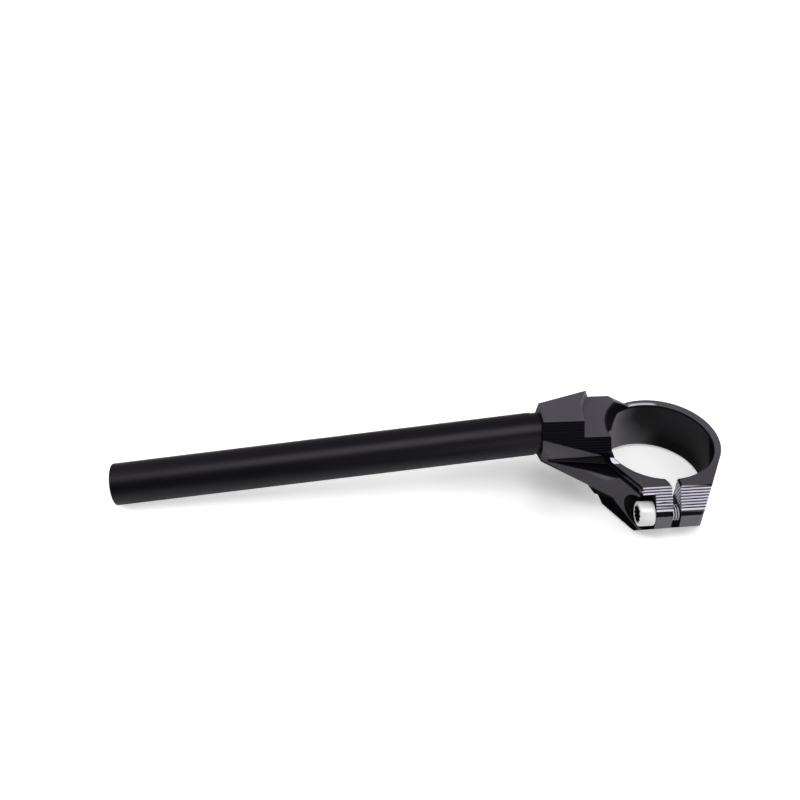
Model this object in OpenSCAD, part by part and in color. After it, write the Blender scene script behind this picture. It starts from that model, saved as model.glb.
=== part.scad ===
// Clip-on handlebar: a milled fork clamp with a bar tube in its boss and one pinch screw.
// The origin is the middle of the fork bore and Z is its axis. The bar leaves toward -X and
// the pinch slit faces -Y. All sizes are millimetres. The modules count z from the bottom face.

/* [Node] */
// Piece to build

/* [Fork ring] */
// Diameter of the fork bore
bore_d = 56; // [50:0.5:57]
// Height of the ring from bottom face to top face
ring_h = 28; // [27:0.5:32]
// Diameter of the round outside of the ring, whose centre lies a little behind the bore's
ring_d = 63; // [62.6:0.2:70]
// Chamfer on the rims of the fork bore
bore_cham = 0.6; // [0.2:0.1:1]
// Width of the pinch slit
slit_w = 4.2; // [3:0.1:5]

/* [Pinch lugs] */
// Angle the left flank closes in by, seen from above
flank_a = 30.5; // [28:0.5:33]
// Depth of the top edge of the lugs in front of the fork axis
lug_top_y = 33.2; // [32.8:0.1:34]
// Depth of the lowest milling step in front of the fork axis
lug_nose_y = 41.8; // [41:0.1:43]
// Milling steps on the face of the lugs
lug_steps = 9; // [6:1:12]
// Vertical size of one milling step on the lugs
lug_step_h = 1.04; // [0.8:0.01:1.1]
// Height of the plain chin under the steps
chin_h = 9.7; // [8.5:0.1:10.5]

/* [Bar boss] */
// Height of the boss top above the top face of the ring
boss_rise = 17.6; // [17.4:0.1:20]
// Height of the nut relief above the top face of the ring
relief_rise = 9.4; // [8:0.1:10]
// Diameter of the nut relief around the fork axis
relief_d = 82.8; // [82:0.2:84]
// Distance of the boss end face from the fork axis
boss_end = 62.2; // [61:0.1:66]
// Milling steps down the front of the boss
boss_steps = 14; // [10:1:15]

/* [Bar tube] */
// Outside diameter of the bar tube
tube_d = 22; // [20:0.1:22.2]
// Wall of the bar tube
tube_wall = 3; // [2:0.1:5]
// Length of the bar tube
tube_len = 238; // [120:1:260]
// Diameter of the turned-down end that sits in the boss
spigot_d = 21.2; // [19:0.1:21.6]
// Length of the turned-down end, which shows as a neck beside the boss
spigot_len = 20.4; // [20.2:0.1:24]
// Angle the bar drops away from the clamp
droop = 8; // [7:0.1:8.5]
// Angle the bar sweeps back from the clamp
sweep = 1.4; // [0:0.1:3]
// Radial room between tube and socket
tube_gap = 0.02; // [0.01:0.01:0.05]

/* [Pinch screw] */
// Nominal diameter of the pinch screw
screw_d = 8; // [7:0.5:8]
// Diameter of the screw head
head_d = 12.4; // [12:0.1:13.4]
// Height of the screw head
head_h = 7.6; // [7:0.1:9]
// Length of the screw below its head
screw_len = 24; // [18:0.5:24]
// Diameter of the splined recess in the head, across its grooves
recess_d = 6.2; // [5:0.1:7]
// Depth of the splined recess
recess_depth = 4; // [3:0.5:5]
// Diameter of the pocket the head sits in
pocket_d = 18.2; // [17:0.2:18.6]

/* [Hidden] */
$fn = 96;
big = 200;
bore_r = bore_d / 2;
ring_r = ring_d / 2;
boss_top = ring_h + boss_rise;
relief_z = ring_h + relief_rise;
// the steps of the left flank: heights, then distances of their walls from the fork axis
step1_drop = 1.4;
step2_drop = 3.3;
step1_z = ring_h - step1_drop;
step2_z = ring_h - step2_drop;
wall1_d = ring_r - 0.1;
wall2_d = ring_r + 0.9;
flank_d = ring_r + 2;
// the outside of the ring lies off the bore's centre, thicker at the back and the right
ring_off = [0.9, 1.35];
right_a = 27.9;
right_d = ring_r + ring_off[0] * cos(right_a) - ring_off[1] * sin(right_a);
// grooves of the splined recess
groove_depth = 0.8;
groove_w = 1.5;
// front face of the lugs
lug_tread = (lug_nose_y - lug_top_y) / lug_steps;
lug_lean = lug_tread * 0.25;
face_turn = 1.6;
nose_top_z = ring_h - lug_steps * lug_step_h;
brow_y = lug_nose_y + 0.95;
brow_z = nose_top_z - 2.2;
chin_y = brow_y + 0.5;
chin_z = nose_top_z - chin_h;
// front face of the boss
boss_face_y = 2.6;
boss_slope = 0.41;
boss_step_h = (boss_top - step1_z - 0.5) / boss_steps;
boss_tread = boss_step_h * boss_slope;
boss_lean = boss_tread * 0.25;
// bar axis: passes this point and falls toward -X
bar_y = 5.2;
bar_z = boss_top - 12;
bar_x = -45.2;
// pinch screw axis and the face its head rests on
screw_y = 37.2;
screw_z = ring_h / 2 - 0.5;
seat_x = -10.5;
slit_x = 0.2;
slit_cham = 0.9;
shelf_z = nose_top_z + 5 * lug_step_h - 0.2;

// bottom corner of the left flank, where a line touches the round outside of the ring
flank_end = -flank_d * [cos(flank_a), sin(flank_a)];
to_ring = ring_off - flank_end;
touch_a = atan2(to_ring[1], to_ring[0]) + asin(ring_r / norm(to_ring));
touch_len = sqrt(to_ring * to_ring - ring_r * ring_r);
flank_touch = flank_end + touch_len * [cos(touch_a), sin(touch_a)];

// everything outside a flank wall at distance d, turned by a, on the side s (-1 left, 1 right)
module beyond_flank(d, a, s) {
  rotate([0, 0, s > 0 ? -a : 180 + a])
    translate([d, -big, -big])
      cube([big, 2 * big, 2 * big]);
}

// everything under a plane through p that rises by sx along X and by sy along Y
module below(p, sx, sy) {
  translate(p)
    rotate([0, atan(norm([sx, sy])), atan2(-sy, -sx)])
      translate([-big, -big, -2 * big])
        cube(2 * big);
}

// everything behind a plane through p that moves back by sx along X and by sz along Z
module behind(p, sx, sz) {
  translate(p)
    rotate([0, acos(-sz / norm([sx, 1, sz])), atan2(1, -sx)])
      translate([-big, -big, 0])
        cube(2 * big);
}

// stepped profile from (-y0, z0), going out by the tread and down by the step
function stairs(y0, z0, n, step, tread, lean) = [
  for (i = [0:n - 1], k = [0:1])
    [-(y0 + i * tread + k * lean), z0 - (i + k) * step]
];

// extrudes a profile drawn in Y and Z along X
module along_x(x0, x1) {
  translate([x0, 0, 0])
    rotate([90, 0, 90])
      linear_extrude(height = x1 - x0)
        children();
}

// plan outline of ring and lugs, widest level
module ring_plan() {
  translate(ring_off)
    circle(r = ring_r, $fn = 180);
  polygon([
    [0, 0],
    ring_off + ring_r * [cos(right_a), -sin(right_a)],
    [(right_d - 60 * sin(right_a)) / cos(right_a), -60],
    [-(flank_d - 60 * sin(flank_a)) / cos(flank_a), -60],
    flank_end,
    flank_touch
  ]);
}

// front faces of the lugs seen from the side
module lug_profile() {
  polygon(concat(
    [[60, 0], [60, ring_h]],
    stairs(lug_top_y, ring_h, lug_steps, lug_step_h, lug_tread, lug_lean),
    [
      [-brow_y, brow_z],
      [-chin_y, chin_z],
      [-chin_y, 0]
    ]
  ));
}

// ring with its two lugs
module ring_body() {
  difference() {
    intersection() {
      linear_extrude(height = ring_h) ring_plan();
      rotate([0, 0, face_turn])
        along_x(-70, 60) lug_profile();
    }
    // under the chin
    below([slit_x, -chin_y, chin_z], 0.05, -1.1);
    // outer corner of the chin
    translate([11.8, -chin_y + 0.4, 0])
      rotate([0, 0, 40])
        translate([-20, -20, 0])
          cube([60, 20, brow_z + 4]);
  }
}

// sloped foot of the boss front, where it comes down on the ring beside the bore
module boss_foot() {
  along_x(-31.5, -20)
    polygon([[-9, ring_h + 2.2], [-10.2, ring_h + 1.3], [-11.9, ring_h - 0.2], [-11.9, 20], [-9, 20]]);
}

// boss cross section, front steps and sloped back
module boss_profile() {
  polygon(concat(
    stairs(boss_face_y, boss_top, boss_steps, boss_step_h, boss_tread, boss_lean),
    [
      [-10.4, step1_z],
      [-30, step1_z],
      [-30, 0],
      [31, 0],
      [31, ring_h - 3],
      [30.1, ring_h - 0.3],
      [22.8, boss_top]
    ]
  ));
}

// plan outline of boss and web up to the level of the left flank
module boss_plan() {
  polygon([
    [-boss_end, 40],
    [-boss_end, -7.7],
    [-58.5, -9.24],
    [-25, -22.976],
    [0, -22.976],
    [0, 0],
    [-8.6, 25.8],
    [-9, 31.2],
    [-22, 26.6],
    [-26, 40]
  ]);
}

// boss and the web that carries it down into the ring
module boss_body() {
  difference() {
    intersection() {
      linear_extrude(height = boss_top) boss_plan();
      along_x(-70, 0) boss_profile();
    }
    // back face, tapering toward the end of the boss
    behind([-62.3, 12.1, boss_top], 0.34, -0.43);
    // slope from the relief down to the ring at the back
    mirror([0, 0, 1])
      below([-21.8, 26.8, -relief_z], 0.68, 0.324);
    // underside, lowest under the bar and rising to both sides
    below([-58.9, -9.3, bar_z - 11.1], -0.52, -0.4);
    below([-58.9, 7, bar_z - 15], -0.52, 0.5);
    under_web();
  }
}

// everything under the facet that runs from the web down to the corner of the flank
module under_web() {
  below([flank_end[0], flank_end[1], 0], -1.42, -2.617);
}

// fills the corner between the web and the foot of the left flank
module web_gusset() {
  difference() {
    intersection() {
      linear_extrude(height = ring_h / 2 + 3) boss_plan();
      translate([-40, -30, 0])
        cube([21, 22, ring_h]);
    }
    under_web();
    // hidden side, rising away from the corner of the flank
    below([flank_end[0], flank_end[1], 0], -1.56, 0.8);
  }
}

// smooth facet under the stepped front of the boss
module boss_facet_cut() {
  difference() {
    translate([-boss_end - 1, -40, step1_z])
      cube([boss_end - 27, 60, boss_top]);
    behind([-58, -9.6, step1_z], -0.026, 0.3);
  }
}

// the two milled steps along the left flank, each level cut outside its wall line
module flank_steps_cut() {
  ra = flank_a;
  translate([0, 0, step1_z])
    linear_extrude(height = 1.9)
      polygon([
        [-80, -9.6],
        [-(wall1_d - 9.6 * sin(ra)) / cos(ra), -9.6],
        [-(wall1_d - 60 * sin(ra)) / cos(ra), -60],
        [-80, -60]
      ]);
  translate([0, 0, step2_z])
    linear_extrude(height = step1_z - step2_z)
      polygon([
        [-80, -7.4],
        [-58.4, -10.2],
        [-(wall2_d - 13.9 * sin(ra)) / cos(ra), -13.9],
        [-(wall2_d - 60 * sin(ra)) / cos(ra), -60],
        [-80, -60]
      ]);
}

// under the nose the left flank draws in toward the bottom face
module flank_draft_cut() {
  rotate([0, 0, 180 + flank_a])
    translate([flank_d - 0.3, -60, 0])
      rotate([0, 2.4, 0])
        translate([0, 0, -10])
          cube([20, 120, 19]);
}

// pocket for the screw head, open to the left flank, with a flat shelf over it
module head_pocket() {
  translate([seat_x, -screw_y, screw_z + 0.6])
    rotate([0, -90, 0]) {
      cylinder(d = pocket_d, h = 60);
      // recessed rim round the mouth of the pocket
      intersection() {
        cylinder(d = pocket_d + 2.2, h = 60);
        translate([0, screw_y, 0])
          rotate([0, 90, 0])
            beyond_flank(flank_d - 0.7, flank_a, -1);
      }
    }
  // shelf over the head, in two levels
  translate([seat_x - 60, -screw_y - 39.2, screw_z])
    cube([60, 40, shelf_z - screw_z]);
  translate([seat_x - 60, -screw_y - 38.3, shelf_z - 1])
    cube([60, 40, 2.25]);
}

// clearance in the left lug, tapping size with thread room in the right lug
module screw_holes() {
  translate([seat_x - 1, -screw_y, screw_z])
    rotate([0, 90, 0])
      cylinder(d = screw_d + 0.4, h = slit_x - seat_x + 1);
  translate([slit_x, -screw_y, screw_z])
    rotate([0, 90, 0])
      cylinder(d = screw_d + 0.06, h = 40);
}

// slit with the left lug eased where it meets the bore
module slit_cut() {
  translate([slit_x - slit_w / 2, -60, -1])
    cube([slit_w, 45, ring_h + 2]);
  // broken top edges, straight through to the bore
  translate([slit_x, -60, ring_h + slit_cham - slit_w / 2 - 2 * slit_cham])
    rotate([0, -45, 0])
      cube([slit_w, 45, slit_w]);
  translate([0, 0, -1])
    linear_extrude(height = ring_h + 2)
      polygon([
        [slit_x - slit_w / 2 + 0.1, -lug_top_y + 0.8],
        [slit_x - slit_w / 2 - 2.4, -bore_r + 0.2],
        [slit_x - slit_w / 2 + 0.1, -bore_r + 2]
      ]);
}

// fork bore with chamfered rims; the upper rim chamfer stops at the boss
module fork_bore() {
  translate([0, 0, -1])
    cylinder(r = bore_r, h = 60, $fn = 180);
  translate([0, 0, -0.01])
    cylinder(r1 = bore_r + bore_cham, r2 = bore_r, h = bore_cham, $fn = 180);
  intersection() {
    translate([0, 0, ring_h - 0.4])
      cylinder(r1 = bore_r, r2 = bore_r + 0.5, h = 0.5, $fn = 180);
    rotate([0, 0, -24])
      translate([-19.8, -50, 0])
        cube([100, 100, 60]);
  }
  translate([0, 0, relief_z - bore_cham])
    cylinder(r1 = bore_r, r2 = bore_r + bore_cham + 0.1, h = bore_cham + 0.1, $fn = 180);
}

// round relief above the boss, concentric with the fork
module nut_relief() {
  translate([0, 0, relief_z])
    cylinder(d = relief_d, h = 30, $fn = 180);
  translate([0, 0, boss_top - 0.3])
    cylinder(d1 = relief_d, d2 = relief_d + 0.8, h = 0.4, $fn = 180);
}

// places its children on the bar axis, with Z along the bar
module on_bar() {
  translate([bar_x, bar_y, bar_z])
    rotate([0, 0, -sweep])
      rotate([0, -90 - droop, 0])
        children();
}

module clamp() {
  color([0.1, 0.1, 0.11])
    translate([0, 0, -ring_h / 2])
    difference() {
      union() {
        ring_body();
        boss_body();
        web_gusset();
        boss_foot();
      }
      beyond_flank(right_d, right_a, 1);
      flank_steps_cut();
      boss_facet_cut();
      flank_draft_cut();
      fork_bore();
      nut_relief();
      slit_cut();
      head_pocket();
      screw_holes();
      on_bar() cylinder(r = spigot_d / 2 + tube_gap, h = 60);
    }
}

module tube() {
  color([0.14, 0.14, 0.15])
    translate([0, 0, -ring_h / 2])
    on_bar()
      difference() {
        union() {
          cylinder(d = spigot_d, h = spigot_len + 1);
          translate([0, 0, spigot_len])
            cylinder(d = tube_d, h = tube_len - spigot_len);
        }
        translate([0, 0, -1])
          cylinder(d = tube_d - 2 * tube_wall, h = tube_len + 2);
        translate([0, 0, tube_len - 1])
          cylinder(d1 = tube_d - 2 * tube_wall, d2 = tube_d - 2 * tube_wall + 2.2, h = 1.1);
      }
}

module screw() {
  color([0.8, 0.8, 0.82])
    translate([seat_x, -screw_y, screw_z - ring_h / 2])
      rotate([0, 90, 0])
        difference() {
          union() {
            cylinder(d = screw_d, h = screw_len - 0.8);
            cylinder(d = screw_d - 1.6, h = screw_len);
            translate([0, 0, -head_h])
              cylinder(d = head_d, h = head_h);
          }
          // splined recess: a round core and grooves across it
          translate([0, 0, -head_h - 1])
            linear_extrude(height = recess_depth + 1)
              union() {
                circle(d = recess_d - 2 * groove_depth);
                for (a = [0:60:120])
                  rotate([0, 0, a])
                    square([recess_d, groove_w], center = true);
              }
        }
}

clamp();
tube();
screw();
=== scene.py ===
# Clip-on handlebar: finishes with painted shade and highlights, screw detail, camera and studio around the
# imported model.
# Blender works in metres; the origin is the middle of the fork bore, Z is the fork axis,
# the bar leaves toward -X and the pinch slit faces -Y.
import math
from types import SimpleNamespace

import bmesh
import bpy
from mathutils import Matrix, Vector


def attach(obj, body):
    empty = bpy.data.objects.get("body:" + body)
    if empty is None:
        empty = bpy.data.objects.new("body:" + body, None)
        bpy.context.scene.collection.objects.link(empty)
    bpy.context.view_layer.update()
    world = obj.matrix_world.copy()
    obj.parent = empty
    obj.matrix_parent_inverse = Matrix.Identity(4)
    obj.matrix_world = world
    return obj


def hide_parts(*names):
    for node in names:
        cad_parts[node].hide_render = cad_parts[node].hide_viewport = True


MM = 0.001

# camera, fitted to the photograph: place and axes in the part's frame
CAMERA_PLACE = (-0.16994, -0.37781, 0.36048)
CAMERA_RIGHT = (0.99688, -0.07569, 0.02218)
CAMERA_DOWN = (-0.03122, -0.63684, -0.77036)
FOCAL_LENGTH = 45.58
SENSOR_WIDTH = 36.0
NEAREST_SEEN = 0.01

# the floor touches the ring's right edge and the end of the bar
FLOOR_NORMAL = (-0.0328, 0.0154, 0.9993)
FLOOR_DROP = 15.25 * MM
FLOOR_SIZE = 6.0

# softboxes: name, place, aim, size, power
SOFTBOXES = (
    ("overhead", (0.0, -0.42, 1.25), (0.0, 0.0, 0.0), (1.8, 0.7), 11.0),
    ("right_side", (1.2, -0.1, 0.5), (0.0, 0.0, 0.0), (0.8, 0.8), 12.0),
    ("front", (0.15, -1.1, 0.3), (0.0, -0.04, 0.0), (0.5, 0.5), 1.3),
    ("left_side", (-1.3, 0.2, 0.7), (-0.1, 0.0, 0.0), (0.8, 0.8), 6.0),
)
ROOM_FRONT_GLOW = 0.02
ROOM_BACK_GLOW = 0.3

# how far the camera sees the floor lifted to white: open, near the part, and under the clamp's web, where
# the lower lifts are a painted shadow
OPEN_LIFT = 0.6
NEAR_SHADOW_LIFT = 0.47
WEB_SHADOW_LIFT = 0.33
LIFT_TINT = (1.0, 0.998, 0.995)
FLOOR_WHITE = (0.86, 0.86, 0.86)
FLOOR_DIM = (0.15, 0.15, 0.15)

# heights and fronts of the clamp that its painted shade and highlights follow
BOSS_TOP = 31.6 * MM
RELIEF_Z = 23.4 * MM
RING_TOP = 14.0 * MM
HIGH_LEDGE_Z = 12.6 * MM
LOW_LEDGE_Z = 10.7 * MM
NOSE_TOP_Z = 4.64 * MM
BROW_Z = 2.44 * MM
BOSS_FACE_Y = -2.5 * MM
LUG_FACE_Y = -33.2 * MM
RIM_RADIUS = 28.6 * MM

# stretches of the clamp and the floor that painted shade, highlights and the floor's painted shadow fill,
# from end to end
STAIR_END_X = (-31.5 * MM, -26.5 * MM)
STAIR_END_Y = (-11.6 * MM, -8.0 * MM)
STAIR_END_Z = (13.4 * MM, 15.2 * MM)
RUN_OUT_X = (-27.7 * MM, -23.0 * MM)
RUN_OUT_Y = (-15.9 * MM, -11.7 * MM)
SLIT_X = (-3.2 * MM, 3.6 * MM)
GLEAM_X = (-7.0 * MM, 5.0 * MM)
GLEAM_RADIUS = (29.0 * MM, 30.4 * MM)
NEAR_PART_X = (-75.0 * MM, 60.0 * MM)
NEAR_PART_Y = (-42.0 * MM, 60.0 * MM)
UNDER_WEB_X = (-58.0 * MM, -42.0 * MM)
UNDER_WEB_Y = (-14.0 * MM, 12.0 * MM)

# fades of the masks that paint shade and light, from where each starts to where it is full
FLANK_FADE_X = (-9.0 * MM, -11.0 * MM)
FLANK_FADE_Y = (-7.0 * MM, -9.0 * MM)
FRONT_TOP_FADE_Y = (-6.0 * MM, -20.0 * MM)
MOUTH_FADE_X = (-57.0 * MM, -58.0 * MM)
BOSS_FADE_X = (-20.0 * MM, -20.5 * MM)
STAIRS_FADE_Y = (-12.4 * MM, -12.2 * MM)
FACET_FADE_X = (-30.3 * MM, -31.0 * MM)
LEDGE_FADE_X = (-59.5 * MM, -58.5 * MM)
LEDGE_FADE_Y = (-7.2 * MM, -7.6 * MM)
HIGH_LEDGE_FADE_Y = (-25.0 * MM, -23.0 * MM)
LOW_LEDGE_FADE_Y = (-20.0 * MM, -25.0 * MM)
WEB_FADE_X = (-15.0 * MM, -16.0 * MM)
NOSE_FADE_Y = (-41.2 * MM, -41.5 * MM)
SHELF_FADE_Y = (-30.0 * MM, -30.5 * MM)
SHELF_FADE_Z = (11.0 * MM, 10.9 * MM)
SLIT_FADE_X = (-4.0 * MM, -3.0 * MM)
SLIT_FADE_Y = (-27.0 * MM, -27.5 * MM)
BORE_FADE = (28.3 * MM, 28.15 * MM)
BORE_LIT_FADE_X = (2.0 * MM, -16.0 * MM)
BORE_LIT_FADE_Z = (6.0 * MM, -16.0 * MM)
BORE_LIT_END_X = (12.0 * MM, 2.0 * MM)
WEDGE_FADE_Y = (0.0, 6.0 * MM)
WEDGE_FADE_Z = (2.5 * MM, 3.5 * MM)
WEDGE_LEFT_FADE_X = (-17.0 * MM, -17.8 * MM)
WEDGE_SLANT_FADE_X = (-13.0 * MM, -14.0 * MM)
RIGHT_WALL_FADE_X = (4.0 * MM, 12.0 * MM)
RIGHT_UPPER_FADE_Z = (2.0 * MM, 10.0 * MM)
RIGHT_LOWER_FADE_Z = (2.0 * MM, -8.0 * MM)
RIM_FADE_Y = (-24.0 * MM, -20.0 * MM)
RIM_FADE_Z = (13.3 * MM, 13.5 * MM)
GLEAM_FADE_Y = (24.0 * MM, 25.0 * MM)
DIM_FADE_X = (-50.0 * MM, -80.0 * MM)
DIM_FADE_Y = (-20.0 * MM, -70.0 * MM)

# lines over the flank, as a point in X and Z and a slope, and the way its planes face
FACET_TIP = (-29.3 * MM, 13.3 * MM)
FACET_SLOPE = -0.277
FACET_FOOT = (-31.5 * MM, 13.87 * MM)
FACET_FOOT_SLOPE = 0.045
WEB_FOOT = (-25.7 * MM, -4.7 * MM)
WEB_FOOT_SLOPES = (-0.42, -0.65)
FACET_NORMAL = (-0.02, -0.957, 0.288)
FLANK_NORMAL = (-0.38, -0.92, 0.06)

# shade in the bore: the wedge's line in X and Z, and the crescent's in Z and Y
WEDGE_POINT = (-18.6 * MM, 4.0 * MM)
WEDGE_SLOPE = 3.05
CRESCENT_POINT = (5.66 * MM, -4.44 * MM)
CRESCENT_SLOPE = 0.88

# usual widths of a mask's edge
HAIR = 0.02 * MM
FINE = 0.05 * MM
SOFT = 0.1 * MM

# grain of the finished surfaces
GRAIN_DETAIL = 3.0
GRAIN_BUMP = 0.3
DRIFT_SIZE = 60.0

# colours of the clamp's satin faces, and of the painted shade, shadow, reflection and highlights on its
# faces and cuts
SATIN_DARK = (0.066, 0.060, 0.076)
SATIN_LIGHT = (0.078, 0.071, 0.089)
SATIN_PAINTED_SHADE = (0.050, 0.045, 0.058)
FACET_PAINTED_SHADE = (0.062, 0.057, 0.071)
SHADE_BLACK = (0.002, 0.002, 0.003)
TREAD_PAINTED_SHEEN = (0.012, 0.011, 0.022)
LEDGE_PAINTED_SHADE = (0.012, 0.011, 0.014)
EDGE_PAINTED_HIGHLIGHT = (0.035, 0.032, 0.04)
BORE_PAINTED_SHADE = (0.010, 0.009, 0.012)
BORE_RIGHT_PAINTED_SHADE = (0.022, 0.020, 0.026)
BORE_LIT = (0.26, 0.245, 0.28)
GLEAM_GREY = (0.55, 0.52, 0.58)
# bright metal of the lug risers, and the colour of a painted highlight on the ring's top
BRIGHT_CUT_AND_HIGHLIGHT = (0.88, 0.85, 0.98)
LUG_TREAD_SHADE = (0.02, 0.018, 0.03)
CHIN_PAINTED_REFLECTION = (0.12, 0.115, 0.13)
SLIT_GREY = (0.9, 0.86, 0.92)
SLIT_STREAK = (0.3, 0.28, 0.31)
STREAK_TURN = 3500.0
STREAK_LEAN = 0.4

# colours of the bar and the screw
BAR_DARK = (0.0012, 0.001, 0.002)
BAR_LIGHT = (0.002, 0.0016, 0.0035)
BAR_SHEEN = (0.95, 0.88, 1.0)
STEEL_DARK = (0.93, 0.93, 0.94)
STEEL_LIGHT = (0.98, 0.98, 0.99)
RECESS_SHADE = (0.01, 0.009, 0.009)

# pinch screw
SCREW_Y = -37.2 * MM
SCREW_Z = -0.5 * MM
SCREW_SEAT_X = -10.5 * MM
SCREW_LENGTH = 24.0 * MM
SCREW_RADIUS = 4.0 * MM
TIP_CHAMFER = 0.3 * MM
HEAD_RADIUS = 6.2 * MM
HEAD_HEIGHT = 7.6 * MM
HEAD_ROUND = 0.6 * MM
HEAD_ROUND_RISE = 0.15 * MM
HEAD_ROUND_INSET = 0.25 * MM
SEAT_CHAMFER = 0.25 * MM
THREAD_PITCH = 1.25 * MM
THREAD_DEPTH = 0.6 * MM
THREAD_RINGS = 8
THREAD_START = -4.0 * MM
SCREW_SEGMENTS = 96
RECESS_TEETH = 12
RECESS_RADIUS = 5.0 * MM
RECESS_TOOTH = 1.2 * MM
RECESS_DEPTH = 4.0 * MM
RECESS_CHAMFER_DEPTH = 0.2 * MM
RECESS_CHAMFER_WIDTH = 0.15 * MM
POCKET_RADIUS = 9.2 * MM
POCKET_RISE = 0.6 * MM

# edges and merging
BEVEL_WIDTH = 0.06 * MM
BEVEL_ANGLE = math.radians(25)
SHARP_ANGLE = math.radians(32)
WELD_DISTANCE = 1e-6
MERGE_DISTANCE = 1e-7
ON_AXIS = 0.01 * MM


class Net:
    """One node tree, with short ways to add masks and mixes."""

    def __init__(self, node_tree):
        self.nodes = node_tree.nodes
        self.links = node_tree.links

    def add(self, kind, **settings):
        node = self.nodes.new(kind)
        for name, value in settings.items():
            setattr(node, name, value)
        return node

    def feed(self, socket, value):
        """Link an output to the socket, or write a constant into it."""
        if hasattr(value, "is_output"):
            self.links.new(value, socket)
        elif socket.type == "RGBA":
            socket.default_value = (*value, 1.0)
        else:
            socket.default_value = value

    def maths(self, operation, *values):
        node = self.add("ShaderNodeMath", operation=operation)
        for socket, value in zip(node.inputs, values):
            self.feed(socket, value)
        return node.outputs[0]

    def mix(self, kind, factor, first, second):
        """Blend from first to second; kind is FLOAT, RGBA or VECTOR."""
        node = self.add("ShaderNodeMix", data_type=kind)
        sockets = {socket.name: socket for socket in node.inputs if socket.enabled}
        for name, value in (("Factor", factor), ("A", first), ("B", second)):
            self.feed(sockets[name], value)
        return next(socket for socket in node.outputs if socket.enabled)

    def split(self, vector):
        node = self.add("ShaderNodeSeparateXYZ")
        self.links.new(vector, node.inputs["Vector"])
        return [node.outputs[axis] for axis in "XYZ"]

    def ramp(self, value, start, full):
        """0 at start and 1 at full, and level beyond them."""
        node = self.add("ShaderNodeMapRange", clamp=True)
        self.links.new(value, node.inputs["Value"])
        node.inputs["From Min"].default_value = start
        node.inputs["From Max"].default_value = full
        return node.outputs["Result"]

    def between(self, value, low, high, soft):
        """1 from low to high, fading over soft at both ends."""
        return self.all_of(self.ramp(value, low - soft, low), self.ramp(value, high + soft, high))

    def under_line(self, along, height, point, slope, soft):
        """1 below the line through the point that rises by slope."""
        level = point[1] - slope * point[0]
        over = self.maths("SUBTRACT", height, self.maths("MULTIPLY", along, slope))
        return self.ramp(over, level + soft, level - soft)

    def distance(self, across, along):
        squares = [self.maths("MULTIPLY", value, value) for value in (across, along)]
        return self.maths("SQRT", self.maths("ADD", *squares))

    def all_of(self, *masks):
        result = masks[0]
        for mask in masks[1:]:
            result = self.maths("MULTIPLY", result, mask)
        return result

    def either(self, first, second):
        return self.maths("MAXIMUM", first, second)

    def invert(self, mask):
        return self.maths("SUBTRACT", 1.0, mask)


class Coats:
    """Colour, gloss, roughness and metal of a surface, laid coat over coat."""

    SOCKETS = {
        "colour": "Base Color",
        "gloss": "Specular IOR Level",
        "rough": "Roughness",
        "metal": "Metallic",
    }

    def __init__(self, net, **first):
        self.net = net
        self.layers = first

    def paint(self, mask, colour, **others):
        self.layers["colour"] = self.net.mix("RGBA", mask, self.layers["colour"], colour)
        for name, value in others.items():
            self.layers[name] = self.net.mix("FLOAT", mask, self.layers[name], value)

    def join(self, shader):
        for name, value in self.layers.items():
            self.net.feed(shader.inputs[self.SOCKETS[name]], value)


# materials
def start_material(name):
    material = bpy.data.materials.new(name)
    material.use_nodes = True
    net = Net(material.node_tree)
    return material, net, net.nodes["Principled BSDF"]


def satin_grain_group():
    """Fine grain of a finished surface, and a slow drift over it."""
    group = bpy.data.node_groups.new("satin_grain", "ShaderNodeTree")
    group.interface.new_socket("Grain size", in_out="INPUT", socket_type="NodeSocketFloat")
    group.interface.new_socket("Height", in_out="OUTPUT", socket_type="NodeSocketFloat")
    group.interface.new_socket("Drift", in_out="OUTPUT", socket_type="NodeSocketFloat")
    net = Net(group)
    enter = net.add("NodeGroupInput")
    leave = net.add("NodeGroupOutput")
    place = net.add("ShaderNodeTexCoord").outputs["Object"]
    fine = net.add("ShaderNodeTexNoise")
    fine.inputs["Detail"].default_value = GRAIN_DETAIL
    net.links.new(place, fine.inputs["Vector"])
    net.links.new(enter.outputs["Grain size"], fine.inputs["Scale"])
    broad = net.add("ShaderNodeTexNoise")
    broad.inputs["Scale"].default_value = DRIFT_SIZE
    net.links.new(place, broad.inputs["Vector"])
    net.links.new(fine.outputs["Fac"], leave.inputs["Height"])
    net.links.new(broad.outputs["Fac"], leave.inputs["Drift"])
    return group


def surface_grain(net, grain, size, depth, smoothest, roughest):
    """Drift, roughness and bumped normal of a finely grained surface."""
    effect = net.add("ShaderNodeGroup")
    effect.node_tree = grain
    effect.inputs["Grain size"].default_value = size
    bump = net.add("ShaderNodeBump")
    bump.inputs["Strength"].default_value = GRAIN_BUMP
    bump.inputs["Distance"].default_value = depth
    net.links.new(effect.outputs["Height"], bump.inputs["Height"])
    drift = effect.outputs["Drift"]
    return drift, net.mix("FLOAT", drift, smoothest, roughest), bump.outputs["Normal"]


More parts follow.
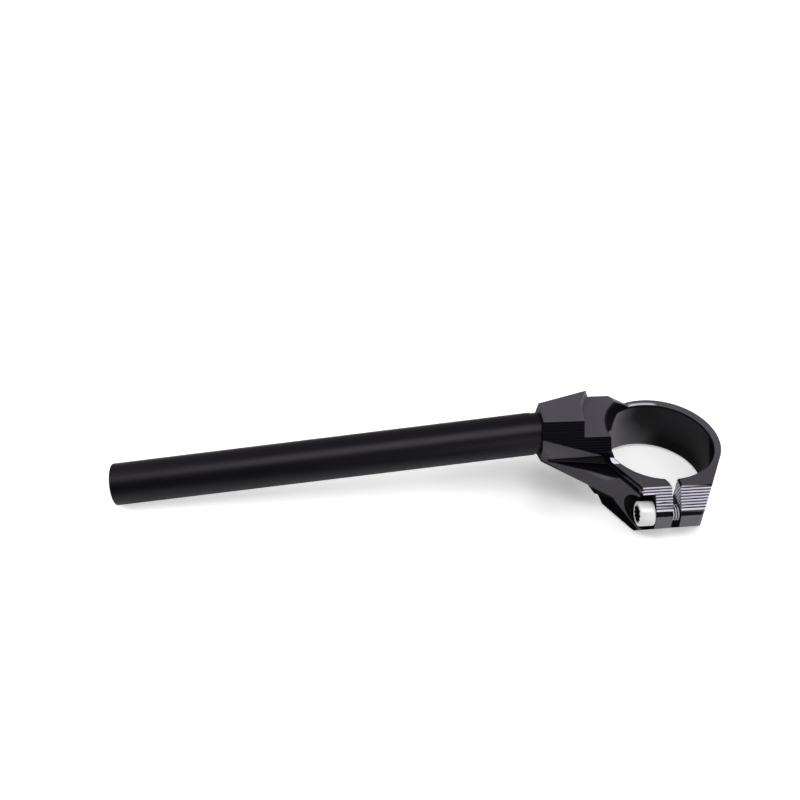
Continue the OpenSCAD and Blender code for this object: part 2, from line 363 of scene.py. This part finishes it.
def clamp_places(net):
    """Coordinates of the shaded point, and masks of the way it faces."""
    place = net.add("ShaderNodeTexCoord")
    x, y, z = net.split(place.outputs["Object"])
    nx, ny, nz = net.split(place.outputs["Normal"])
    aside = net.maths("ABSOLUTE", nx)
    return SimpleNamespace(
        x=x,
        y=y,
        z=z,
        radius=net.distance(x, y),
        upward=net.ramp(nz, 0.7, 0.9),
        downward=net.ramp(nz, -0.05, -0.25),
        upright=net.between(nz, -0.05, 0.6, 0.05),
        not_upward=net.ramp(nz, 0.3, 0.1),
        frontal=net.ramp(ny, -0.6, -0.8),
        not_backward=net.ramp(ny, 0.5, 0.3),
        not_leftward=net.ramp(nx, -0.8, -0.6),
        leftward=net.ramp(nx, -0.35, -0.5),
        wholly_leftward=net.ramp(nx, -0.85, -0.95),
        barely_leftward=net.ramp(nx, -0.5, -0.4),
        not_right=net.ramp(nx, 0.1, 0.02),
        hardly_right=net.ramp(nx, 0.3, 0.1),
        sideways=net.ramp(aside, 0.35, 0.5),
        not_sideways=net.ramp(aside, 0.5, 0.3),
    )


def low_flank_mask(net, at):
    return net.all_of(
        net.ramp(at.z, LOW_LEDGE_Z, LOW_LEDGE_Z - SOFT),
        net.ramp(at.x, *FLANK_FADE_X),
        net.ramp(at.y, *FLANK_FADE_Y),
    )


def facet_masks(net, at):
    """The smooth facet under the stairs: its outline, and its part on the boss."""
    outline = net.all_of(
        net.under_line(at.x, at.z, FACET_TIP, FACET_SLOPE, FINE),
        net.ramp(at.x, *FACET_FADE_X),
    )
    boss_front = net.all_of(
        net.ramp(at.x, *BOSS_FADE_X),
        net.ramp(at.y, BOSS_FACE_Y, BOSS_FACE_Y - SOFT),
        at.not_leftward,
    )
    facet = net.all_of(boss_front, outline, net.ramp(at.z, HIGH_LEDGE_Z - FINE, HIGH_LEDGE_Z + FINE))
    return outline, boss_front, facet


def paint_boss(net, at, coats, outline, boss_front, facet):
    """Painted shade and light on the boss: black mouth, black stairs with a painted sheen on the paler
    treads, the facet with a painted shadow at its foot, and a painted highlight where the stairs run out.
    """
    mouth = net.all_of(net.ramp(at.x, *MOUTH_FADE_X), at.leftward)
    # painted black shade on the mouth's end faces
    coats.paint(mouth, SHADE_BLACK, gloss=0.1)
    on_relief = net.all_of(at.upward, net.between(at.z, RELIEF_Z - 0.1 * MM, RELIEF_Z + 0.1 * MM, HAIR))
    stairs = net.all_of(
        boss_front,
        net.between(at.z, RING_TOP - 0.3 * MM, BOSS_TOP - 0.15 * MM, FINE),
        net.ramp(at.y, *STAIRS_FADE_Y),
        net.invert(outline),
        net.invert(on_relief),
    )
    # painted shade: the stairs black, with a painted sheen on their upward treads
    coats.paint(stairs, SHADE_BLACK, gloss=0.06)
    coats.paint(net.all_of(stairs, at.upward), TREAD_PAINTED_SHEEN)
    # painted shade: the facet in a darker satin
    coats.paint(facet, FACET_PAINTED_SHADE)
    facet_foot = net.all_of(facet, net.under_line(at.x, at.z, FACET_FOOT, FACET_FOOT_SLOPE, 0.08 * MM))
    # painted shadow along the facet's foot
    coats.paint(facet_foot, SHADE_BLACK, gloss=0.05)
    stair_end = net.all_of(
        net.between(at.x, *STAIR_END_X, 0.2 * MM),
        net.between(at.y, *STAIR_END_Y, SOFT),
        net.between(at.z, *STAIR_END_Z, SOFT),
    )
    # painted black shade at the end of the stairs
    coats.paint(stair_end, SHADE_BLACK, gloss=0.03)
    # painted highlight: a bright spot where the stairs run out on the ring's top
    run_out_highlight = net.all_of(
        net.between(at.x, *RUN_OUT_X, 0.3 * MM),
        net.between(at.y, *RUN_OUT_Y, 0.3 * MM),
        at.upward,
        net.between(at.z, RING_TOP - 0.5 * MM, RING_TOP + 0.5 * MM, SOFT),
    )
    coats.paint(run_out_highlight, BRIGHT_CUT_AND_HIGHLIGHT, rough=0.4)


def paint_ledges(net, at, coats, facet):
    """Painted shade on the two ledges along the flank, black on their walls and dark where they run onto
    the web, with a painted highlight along the high ledge's edge.
    """
    behind_lug = net.ramp(at.y, LUG_FACE_Y, LUG_FACE_Y + SOFT)
    ledges = net.all_of(
        net.between(at.z, LOW_LEDGE_Z - HAIR, RING_TOP - FINE, HAIR),
        at.not_right,
        net.ramp(at.y, *LEDGE_FADE_Y),
        net.ramp(at.x, *LEDGE_FADE_X),
        net.ramp(at.radius, RIM_RADIUS, RIM_RADIUS + 0.2 * MM),
        behind_lug,
    )
    walls = net.all_of(ledges, net.invert(at.upward), net.invert(facet))
    # painted black shade on the ledge walls
    coats.paint(walls, SHADE_BLACK, gloss=0.05)
    rim_highlight = net.all_of(walls, net.between(at.z, HIGH_LEDGE_Z - 0.35 * MM, HIGH_LEDGE_Z, FINE))
    # painted highlight along the top of the high ledge's wall
    coats.paint(rim_highlight, EDGE_PAINTED_HIGHLIGHT)
    high_ledge = net.all_of(
        at.upward,
        ledges,
        net.ramp(at.y, *HIGH_LEDGE_FADE_Y),
        net.ramp(at.z, HIGH_LEDGE_Z + 0.3 * MM, HIGH_LEDGE_Z + 0.2 * MM),
        net.ramp(at.z, HIGH_LEDGE_Z - 0.4 * MM, HIGH_LEDGE_Z - 0.2 * MM),
    )
    coats.paint(high_ledge, SHADE_BLACK, gloss=0.05)
    low_ledge = net.all_of(
        at.upward,
        net.ramp(at.z, HIGH_LEDGE_Z - 0.3 * MM, HIGH_LEDGE_Z - 0.5 * MM),
        behind_lug,
        net.ramp(at.z, LOW_LEDGE_Z - 1.0 * MM, LOW_LEDGE_Z - 0.5 * MM),
    )
    toward_lug = net.ramp(at.y, *LOW_LEDGE_FADE_Y)
    coats.paint(low_ledge, net.mix("RGBA", toward_lug, SHADE_BLACK, LEDGE_PAINTED_SHADE), gloss=0.08)


def paint_underside(net, at, coats):
    """Painted black shade on everything that faces down, and on the foot of the flank under the web."""
    lines = [net.under_line(at.x, at.z, WEB_FOOT, slope, 0.15 * MM) for slope in WEB_FOOT_SLOPES]
    web_foot = net.all_of(
        net.ramp(at.x, *WEB_FADE_X),
        at.hardly_right,
        at.not_backward,
        net.ramp(at.radius, RIM_RADIUS, RIM_RADIUS + 0.2 * MM),
        *lines,
    )
    coats.paint(net.either(at.downward, web_foot), SHADE_BLACK, gloss=0.02)


def paint_lugs(net, at, coats):
    """Bright metal risers between treads in painted shade, black painted shade on the brow, a painted
    reflection on the grey chin, and painted black shade in the head pocket.
    """
    steps = net.all_of(
        net.ramp(at.y, LUG_FACE_Y + 0.3 * MM, LUG_FACE_Y - 0.1 * MM),
        net.ramp(at.z, NOSE_TOP_Z - 0.1 * MM, NOSE_TOP_Z + 0.05 * MM),
        net.ramp(at.z, RING_TOP - 0.02 * MM, RING_TOP - 0.06 * MM),
        at.not_sideways,
    )
    coats.paint(steps, LUG_TREAD_SHADE, gloss=0.1)
    coats.paint(net.all_of(steps, at.frontal), BRIGHT_CUT_AND_HIGHLIGHT, rough=0.32, metal=1.0)
    nose = net.all_of(
        net.ramp(at.y, *NOSE_FADE_Y),
        net.ramp(at.z, NOSE_TOP_Z, NOSE_TOP_Z - SOFT),
        at.not_sideways,
    )
    brow = net.ramp(at.z, BROW_Z - 0.1 * MM, BROW_Z + 0.1 * MM)
    coats.paint(net.all_of(nose, brow), SHADE_BLACK, gloss=0.1)
    coats.paint(net.all_of(nose, net.invert(brow)), CHIN_PAINTED_REFLECTION, rough=0.35)
    left_of_seat = net.ramp(at.x, SCREW_SEAT_X + 0.2 * MM, SCREW_SEAT_X)
    across = net.maths("SUBTRACT", at.y, SCREW_Y)
    height = net.maths("SUBTRACT", at.z, SCREW_Z + POCKET_RISE)
    reach = net.distance(across, height)
    pocket = net.all_of(left_of_seat, net.ramp(reach, POCKET_RADIUS, POCKET_RADIUS - 0.08 * MM))
    shelf = net.all_of(
        left_of_seat,
        net.ramp(at.y, *SHELF_FADE_Y),
        net.ramp(at.z, *SHELF_FADE_Z),
        at.barely_leftward,
    )
    coats.paint(net.either(pocket, shelf), SHADE_BLACK, gloss=0.06)


def paint_slit(net, at, coats):
    """Slit walls: streaked bright cut painted as lit on the right lug above the screw, and painted black
    shade elsewhere.
    """
    slit = net.all_of(
        net.between(at.x, *SLIT_X, SOFT),
        at.sideways,
        net.ramp(at.y, *SLIT_FADE_Y),
        net.ramp(at.x, *SLIT_FADE_X),
    )
    coats.paint(slit, SHADE_BLACK, gloss=0.1)
    above_screw = net.ramp(at.z, SCREW_Z + SCREW_RADIUS, SCREW_Z + SCREW_RADIUS + 1.5 * MM)
    lit = net.all_of(slit, above_screw, at.wholly_leftward)
    slope = net.maths("ADD", at.y, net.maths("MULTIPLY", at.z, STREAK_LEAN))
    wave = net.maths("SINE", net.maths("MULTIPLY", slope, STREAK_TURN))
    streak = net.ramp(wave, -0.6, 0.9)
    coats.paint(lit, net.mix("RGBA", streak, SLIT_GREY, SLIT_STREAK), rough=0.35, metal=1.0)


def paint_bore(net, at, coats):
    """Painted light and shade on the bore wall: lit at its lower left, painted black shade in the upper
    left wedge and the right crescent, and a painted black band at the rim.
    """
    bore = net.all_of(net.ramp(at.radius, *BORE_FADE), at.not_upward)
    coats.paint(bore, BORE_PAINTED_SHADE, gloss=0.25)
    low_left = net.maths("ADD", net.ramp(at.x, *BORE_LIT_FADE_X), net.ramp(at.z, *BORE_LIT_FADE_Z))
    lit = net.all_of(bore, net.ramp(low_left, 0.3, 1.7), net.ramp(at.x, *BORE_LIT_END_X))
    coats.paint(lit, BORE_LIT)
    left_back = net.all_of(bore, net.ramp(at.y, *WEDGE_FADE_Y), net.ramp(at.z, *WEDGE_FADE_Z))
    over_slant = net.invert(net.under_line(at.x, at.z, WEDGE_POINT, WEDGE_SLOPE, 0.6 * MM))
    wedge = net.either(
        net.ramp(at.x, *WEDGE_LEFT_FADE_X),
        net.all_of(over_slant, net.ramp(at.x, *WEDGE_SLANT_FADE_X)),
    )
    coats.paint(net.all_of(left_back, wedge), SHADE_BLACK, gloss=0.05)
    right_wall = net.all_of(bore, net.ramp(at.x, *RIGHT_WALL_FADE_X))
    coats.paint(net.all_of(right_wall, net.ramp(at.z, *RIGHT_UPPER_FADE_Z)), BORE_RIGHT_PAINTED_SHADE)
    coats.paint(net.all_of(right_wall, net.ramp(at.z, *RIGHT_LOWER_FADE_Z)), SHADE_BLACK, gloss=0.08)
    crescent = net.under_line(at.z, at.y, CRESCENT_POINT, CRESCENT_SLOPE, 0.2 * MM)
    coats.paint(net.all_of(right_wall, crescent), SHADE_BLACK, gloss=0.03)
    rim = net.all_of(
        net.ramp(at.radius, RIM_RADIUS + 0.15 * MM, RIM_RADIUS + 0.05 * MM),
        net.ramp(at.z, *RIM_FADE_Z),
        net.ramp(at.y, *RIM_FADE_Y),
    )
    coats.paint(rim, SHADE_BLACK, gloss=0.05)


def paint_gleam(net, at, coats):
    """Gleam along the back of the ring's top."""
    gleam = net.all_of(
        at.upward,
        net.between(at.x, *GLEAM_X, 2.5 * MM),
        net.ramp(at.y, *GLEAM_FADE_Y),
        net.between(at.radius, *GLEAM_RADIUS, 0.3 * MM),
        net.between(at.z, RING_TOP - 0.05 * MM, RING_TOP + 0.1 * MM, HAIR),
    )
    coats.paint(gleam, GLEAM_GREY)


def clamp_material(grain):
    """Black anodised block: satin faces, and cut steps, walls and bore painted darker or brighter with
    shade, shadow, reflection and highlights.
    """
    material, net, shader = start_material("clamp_black_anodised")
    texture = surface_grain(net, grain, size=9000.0, depth=0.02 * MM, smoothest=0.4, roughest=0.5)
    drift, rough, bumped = texture
    satin = net.mix("RGBA", drift, SATIN_DARK, SATIN_LIGHT)
    coats = Coats(net, colour=satin, gloss=0.5, rough=rough, metal=0.0)
    at = clamp_places(net)
    low_flank = low_flank_mask(net, at)
    front_top = net.all_of(at.upward, net.ramp(at.y, *FRONT_TOP_FADE_Y))
    # painted shade: the low flank and the upward faces toward the front in a darker satin
    coats.paint(net.either(low_flank, front_top), SATIN_PAINTED_SHADE)
    outline, boss_front, facet = facet_masks(net, at)
    paint_boss(net, at, coats, outline, boss_front, facet)
    paint_ledges(net, at, coats, facet)
    paint_underside(net, at, coats)
    paint_lugs(net, at, coats)
    paint_slit(net, at, coats)
    paint_bore(net, at, coats)
    paint_gleam(net, at, coats)
    coats.join(shader)
    # the facet and the low flank each shade as one plane
    flat = net.mix("VECTOR", facet, bumped, FACET_NORMAL)
    flat = net.mix("VECTOR", net.all_of(low_flank, at.upright), flat, FLANK_NORMAL)
    net.links.new(flat, shader.inputs["Normal"])
    return material


def tube_material(grain):
    material, net, shader = start_material("tube_black_anodised")
    texture = surface_grain(net, grain, size=7000.0, depth=0.01 * MM, smoothest=0.36, roughest=0.42)
    drift, rough, bumped = texture
    Coats(net, colour=net.mix("RGBA", drift, BAR_DARK, BAR_LIGHT), gloss=0.35, rough=rough).join(shader)
    net.feed(shader.inputs["Specular Tint"], BAR_SHEEN)
    net.links.new(bumped, shader.inputs["Normal"])
    return material


def screw_material(grain):
    """Bright steel, in shade inside the recess and in the thread's valleys."""
    material, net, shader = start_material("screw_bright_steel")
    texture = surface_grain(net, grain, size=12000.0, depth=0.01 * MM, smoothest=0.28, roughest=0.4)
    drift, rough, bumped = texture
    x, y, z = net.split(net.add("ShaderNodeTexCoord").outputs["Object"])
    radius = net.distance(net.maths("SUBTRACT", y, SCREW_Y), net.maths("SUBTRACT", z, SCREW_Z))
    face = SCREW_SEAT_X - HEAD_HEIGHT
    inside = net.all_of(
        net.ramp(radius, RECESS_RADIUS + 0.12 * MM, RECESS_RADIUS + 0.06 * MM),
        net.between(x, face + 0.1 * MM, face + RECESS_DEPTH + 0.2 * MM, FINE),
    )
    valley = net.all_of(
        net.ramp(x, THREAD_START, THREAD_START + THREAD_PITCH / 2),
        net.ramp(radius, SCREW_RADIUS - 0.3 * THREAD_DEPTH, SCREW_RADIUS - 0.6 * THREAD_DEPTH),
    )
    steel = net.mix("RGBA", drift, STEEL_DARK, STEEL_LIGHT)
    coats = Coats(net, colour=steel, gloss=0.5, rough=rough, metal=0.1)
    coats.paint(net.either(inside, valley), RECESS_SHADE, gloss=0.1, metal=0.0)
    coats.join(shader)
    net.links.new(bumped, shader.inputs["Normal"])
    return material


def floor_material():
    """White floor that keeps the part's shadow, brightened for the camera only, and less near the part and
    under the web as a painted shadow.
    """
    material, net, shader = start_material("floor_white")
    seen = net.add("ShaderNodeLightPath")
    x, y, _ = net.split(net.add("ShaderNodeTexCoord").outputs["Object"])
    near_shadow = net.all_of(
        net.between(x, *NEAR_PART_X, 45.0 * MM),
        net.between(y, *NEAR_PART_Y, 12.0 * MM),
    )
    web_shadow = net.all_of(
        net.between(x, *UNDER_WEB_X, 14.0 * MM),
        net.between(y, *UNDER_WEB_Y, 12.0 * MM),
    )
    shaded_lift = net.mix("FLOAT", web_shadow, NEAR_SHADOW_LIFT, WEB_SHADOW_LIFT)
    lift = net.mix("FLOAT", near_shadow, OPEN_LIFT, shaded_lift)
    # the floor in front of the bar is dim in reflections
    dim = net.all_of(
        seen.outputs["Is Glossy Ray"],
        net.ramp(y, *DIM_FADE_Y),
        net.ramp(x, *DIM_FADE_X),
    )
    Coats(net, colour=net.mix("RGBA", dim, FLOOR_WHITE, FLOOR_DIM), gloss=0.1, rough=0.8).join(shader)
    net.feed(shader.inputs["Emission Color"], LIFT_TINT)
    net.feed(shader.inputs["Emission Strength"], net.all_of(seen.outputs["Is Camera Ray"], lift))
    return material


# pieces
def add_piece(name, shape, material):
    """Turn a finished bmesh into an object of the scene."""
    mesh = bpy.data.meshes.new(name)
    shape.to_mesh(mesh)
    shape.free()
    mesh.materials.append(material)
    piece = bpy.data.objects.new(name, mesh)
    bpy.context.collection.objects.link(piece)
    return piece


def dress(name, material):
    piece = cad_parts[name]
    piece.data.materials.clear()
    piece.data.materials.append(material)
    return piece


def ease_edges(piece):
    """Weld a CAD node's loose triangles in a modifier and break its sharp edges."""
    weld = piece.modifiers.new("weld", "WELD")
    weld.merge_threshold = WELD_DISTANCE
    bevel = piece.modifiers.new("broken_edges", "BEVEL")
    bevel.width = BEVEL_WIDTH
    bevel.segments = 2
    bevel.limit_method = "ANGLE"
    bevel.angle_limit = BEVEL_ANGLE
    bevel.use_clamp_overlap = True
    bevel.harden_normals = False


def triangle_wave(turns):
    """0 at whole numbers, 1 half way between them."""
    return 1.0 - abs(2.0 * (turns % 1.0) - 1.0)


def turned_screw(face, tip, end):
    """The screw as it comes off the lathe, with the straight part finely divided for its thread."""
    outline = [
        (face + RECESS_DEPTH, 0.0),
        (face + RECESS_DEPTH, RECESS_RADIUS),
        (face + RECESS_CHAMFER_DEPTH, RECESS_RADIUS),
        (face, RECESS_RADIUS + RECESS_CHAMFER_WIDTH),
        (face, HEAD_RADIUS - HEAD_ROUND),
        (face + HEAD_ROUND_RISE, HEAD_RADIUS - HEAD_ROUND_INSET),
        (face + HEAD_ROUND, HEAD_RADIUS),
        (SCREW_SEAT_X - SEAT_CHAMFER, HEAD_RADIUS),
        (SCREW_SEAT_X, HEAD_RADIUS - SEAT_CHAMFER),
        (SCREW_SEAT_X, SCREW_RADIUS),
        (THREAD_START, SCREW_RADIUS),
        (tip, SCREW_RADIUS),
        (end, SCREW_RADIUS - TIP_CHAMFER),
        (end, 0.0),
    ]
    shape = bmesh.new()
    corners = [shape.verts.new((x, SCREW_Y + radius, SCREW_Z)) for x, radius in outline]
    edges = [shape.edges.new(pair) for pair in zip(corners, corners[1:])]
    threaded = edges[outline.index((THREAD_START, SCREW_RADIUS))]
    cuts = round((tip - THREAD_START) / THREAD_PITCH * THREAD_RINGS)
    bmesh.ops.subdivide_edges(shape, edges=[threaded], cuts=cuts)
    bmesh.ops.spin(
        shape,
        geom=shape.verts[:] + shape.edges[:],
        cent=(0.0, SCREW_Y, SCREW_Z),
        axis=(1.0, 0.0, 0.0),
        angle=2.0 * math.pi,
        steps=SCREW_SEGMENTS,
        use_merge=True,
    )
    bmesh.ops.remove_doubles(shape, verts=shape.verts, dist=MERGE_DISTANCE)
    bmesh.ops.recalc_face_normals(shape, faces=shape.faces)
    return shape


def build_screw(material):
    """Socket screw with twelve recess teeth and a rolled thread, in place of the unthreaded solid."""
    face = SCREW_SEAT_X - HEAD_HEIGHT
    end = SCREW_SEAT_X + SCREW_LENGTH
    tip = end - TIP_CHAMFER
    recess_end = face + 1.01 * RECESS_DEPTH
    recess_reach = RECESS_RADIUS + 0.2 * MM
    thread_from = THREAD_START + 0.1 * MM
    shape = turned_screw(face, tip, end)
    # push the turned form inward at the teeth of the recess and at the thread's valleys
    for corner in shape.verts:
        out = Vector((0.0, corner.co.y - SCREW_Y, corner.co.z - SCREW_Z))
        if out.length < ON_AXIS:
            continue
        turn = math.atan2(out.z, out.y) / (2.0 * math.pi)
        if corner.co.x < recess_end and out.length < recess_reach:
            corner.co -= out.normalized() * RECESS_TOOTH * triangle_wave(turn * RECESS_TEETH)
        elif thread_from < corner.co.x < tip:
            corner.co -= out.normalized() * THREAD_DEPTH * triangle_wave(corner.co.x / THREAD_PITCH - turn)
    for side in shape.faces:
        side.smooth = True
    for edge in shape.edges:
        edge.smooth = edge.calc_face_angle(0.0) < SHARP_ANGLE
    screw = add_piece("socket_screw", shape, material)
    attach(screw, "root")
    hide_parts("screw")


# studio
def add_camera():
    camera = bpy.data.objects.new("camera", bpy.data.cameras.new("camera"))
    bpy.context.collection.objects.link(camera)
    right = Vector(CAMERA_RIGHT).normalized()
    down = Vector(CAMERA_DOWN)
    down = (down - right * down.dot(right)).normalized()
    ahead = right.cross(down)
    turn = Matrix((right, -down, -ahead)).transposed()
    camera.matrix_world = Matrix.Translation(CAMERA_PLACE) @ turn.to_4x4()
    camera.data.lens = FOCAL_LENGTH
    camera.data.sensor_width = SENSOR_WIDTH
    camera.data.clip_start = NEAREST_SEEN
    bpy.context.scene.camera = camera


def add_floor():
    shape = bmesh.new()
    bmesh.ops.create_grid(shape, x_segments=1, y_segments=1, size=FLOOR_SIZE / 2)
    floor = add_piece("floor", shape, floor_material())
    normal = Vector(FLOOR_NORMAL).normalized()
    tilt = Vector((0.0, 0.0, 1.0)).rotation_difference(normal).to_matrix().to_4x4()
    floor.matrix_world = Matrix.Translation(-normal * FLOOR_DROP) @ tilt


def add_softbox(name, place, aim, size, power):
    light = bpy.data.lights.new(name, "AREA")
    light.shape = "RECTANGLE"
    light.size, light.size_y = size
    light.energy = power
    box = bpy.data.objects.new(name, light)
    box.location = place
    box.rotation_euler = (Vector(aim) - Vector(place)).to_track_quat("-Z", "Y").to_euler()
    bpy.context.collection.objects.link(box)


def add_world():
    """A dark room that glows softly behind the part, and is white to the camera."""
    world = bpy.data.worlds.new("studio")
    world.use_nodes = True
    net = Net(world.node_tree)
    net.nodes.clear()
    toward_back = net.split(net.add("ShaderNodeTexCoord").outputs["Generated"])[1]
    behind = net.ramp(toward_back, -0.2, 0.6)
    room = net.maths("MULTIPLY_ADD", behind, ROOM_BACK_GLOW, ROOM_FRONT_GLOW)
    seen = net.add("ShaderNodeLightPath")
    glow = net.add("ShaderNodeBackground")
    net.links.new(net.either(room, seen.outputs["Is Camera Ray"]), glow.inputs["Strength"])
    leave = net.add("ShaderNodeOutputWorld")
    net.links.new(glow.outputs["Background"], leave.inputs["Surface"])
    bpy.context.scene.world = world


# build
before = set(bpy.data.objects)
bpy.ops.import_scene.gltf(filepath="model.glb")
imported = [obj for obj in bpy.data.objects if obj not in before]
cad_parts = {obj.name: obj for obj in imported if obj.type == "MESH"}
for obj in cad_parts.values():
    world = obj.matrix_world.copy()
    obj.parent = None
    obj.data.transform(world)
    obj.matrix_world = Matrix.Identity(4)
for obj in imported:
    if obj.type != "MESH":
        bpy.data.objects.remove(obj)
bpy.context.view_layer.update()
bpy.context.scene.view_settings.view_transform = "Standard"

grain = satin_grain_group()
clamp = dress("clamp", clamp_material(grain))
dress("tube", tube_material(grain))
build_screw(screw_material(grain))
ease_edges(clamp)

add_camera()
add_floor()
add_world()
for softbox in SOFTBOXES:
    add_softbox(*softbox)
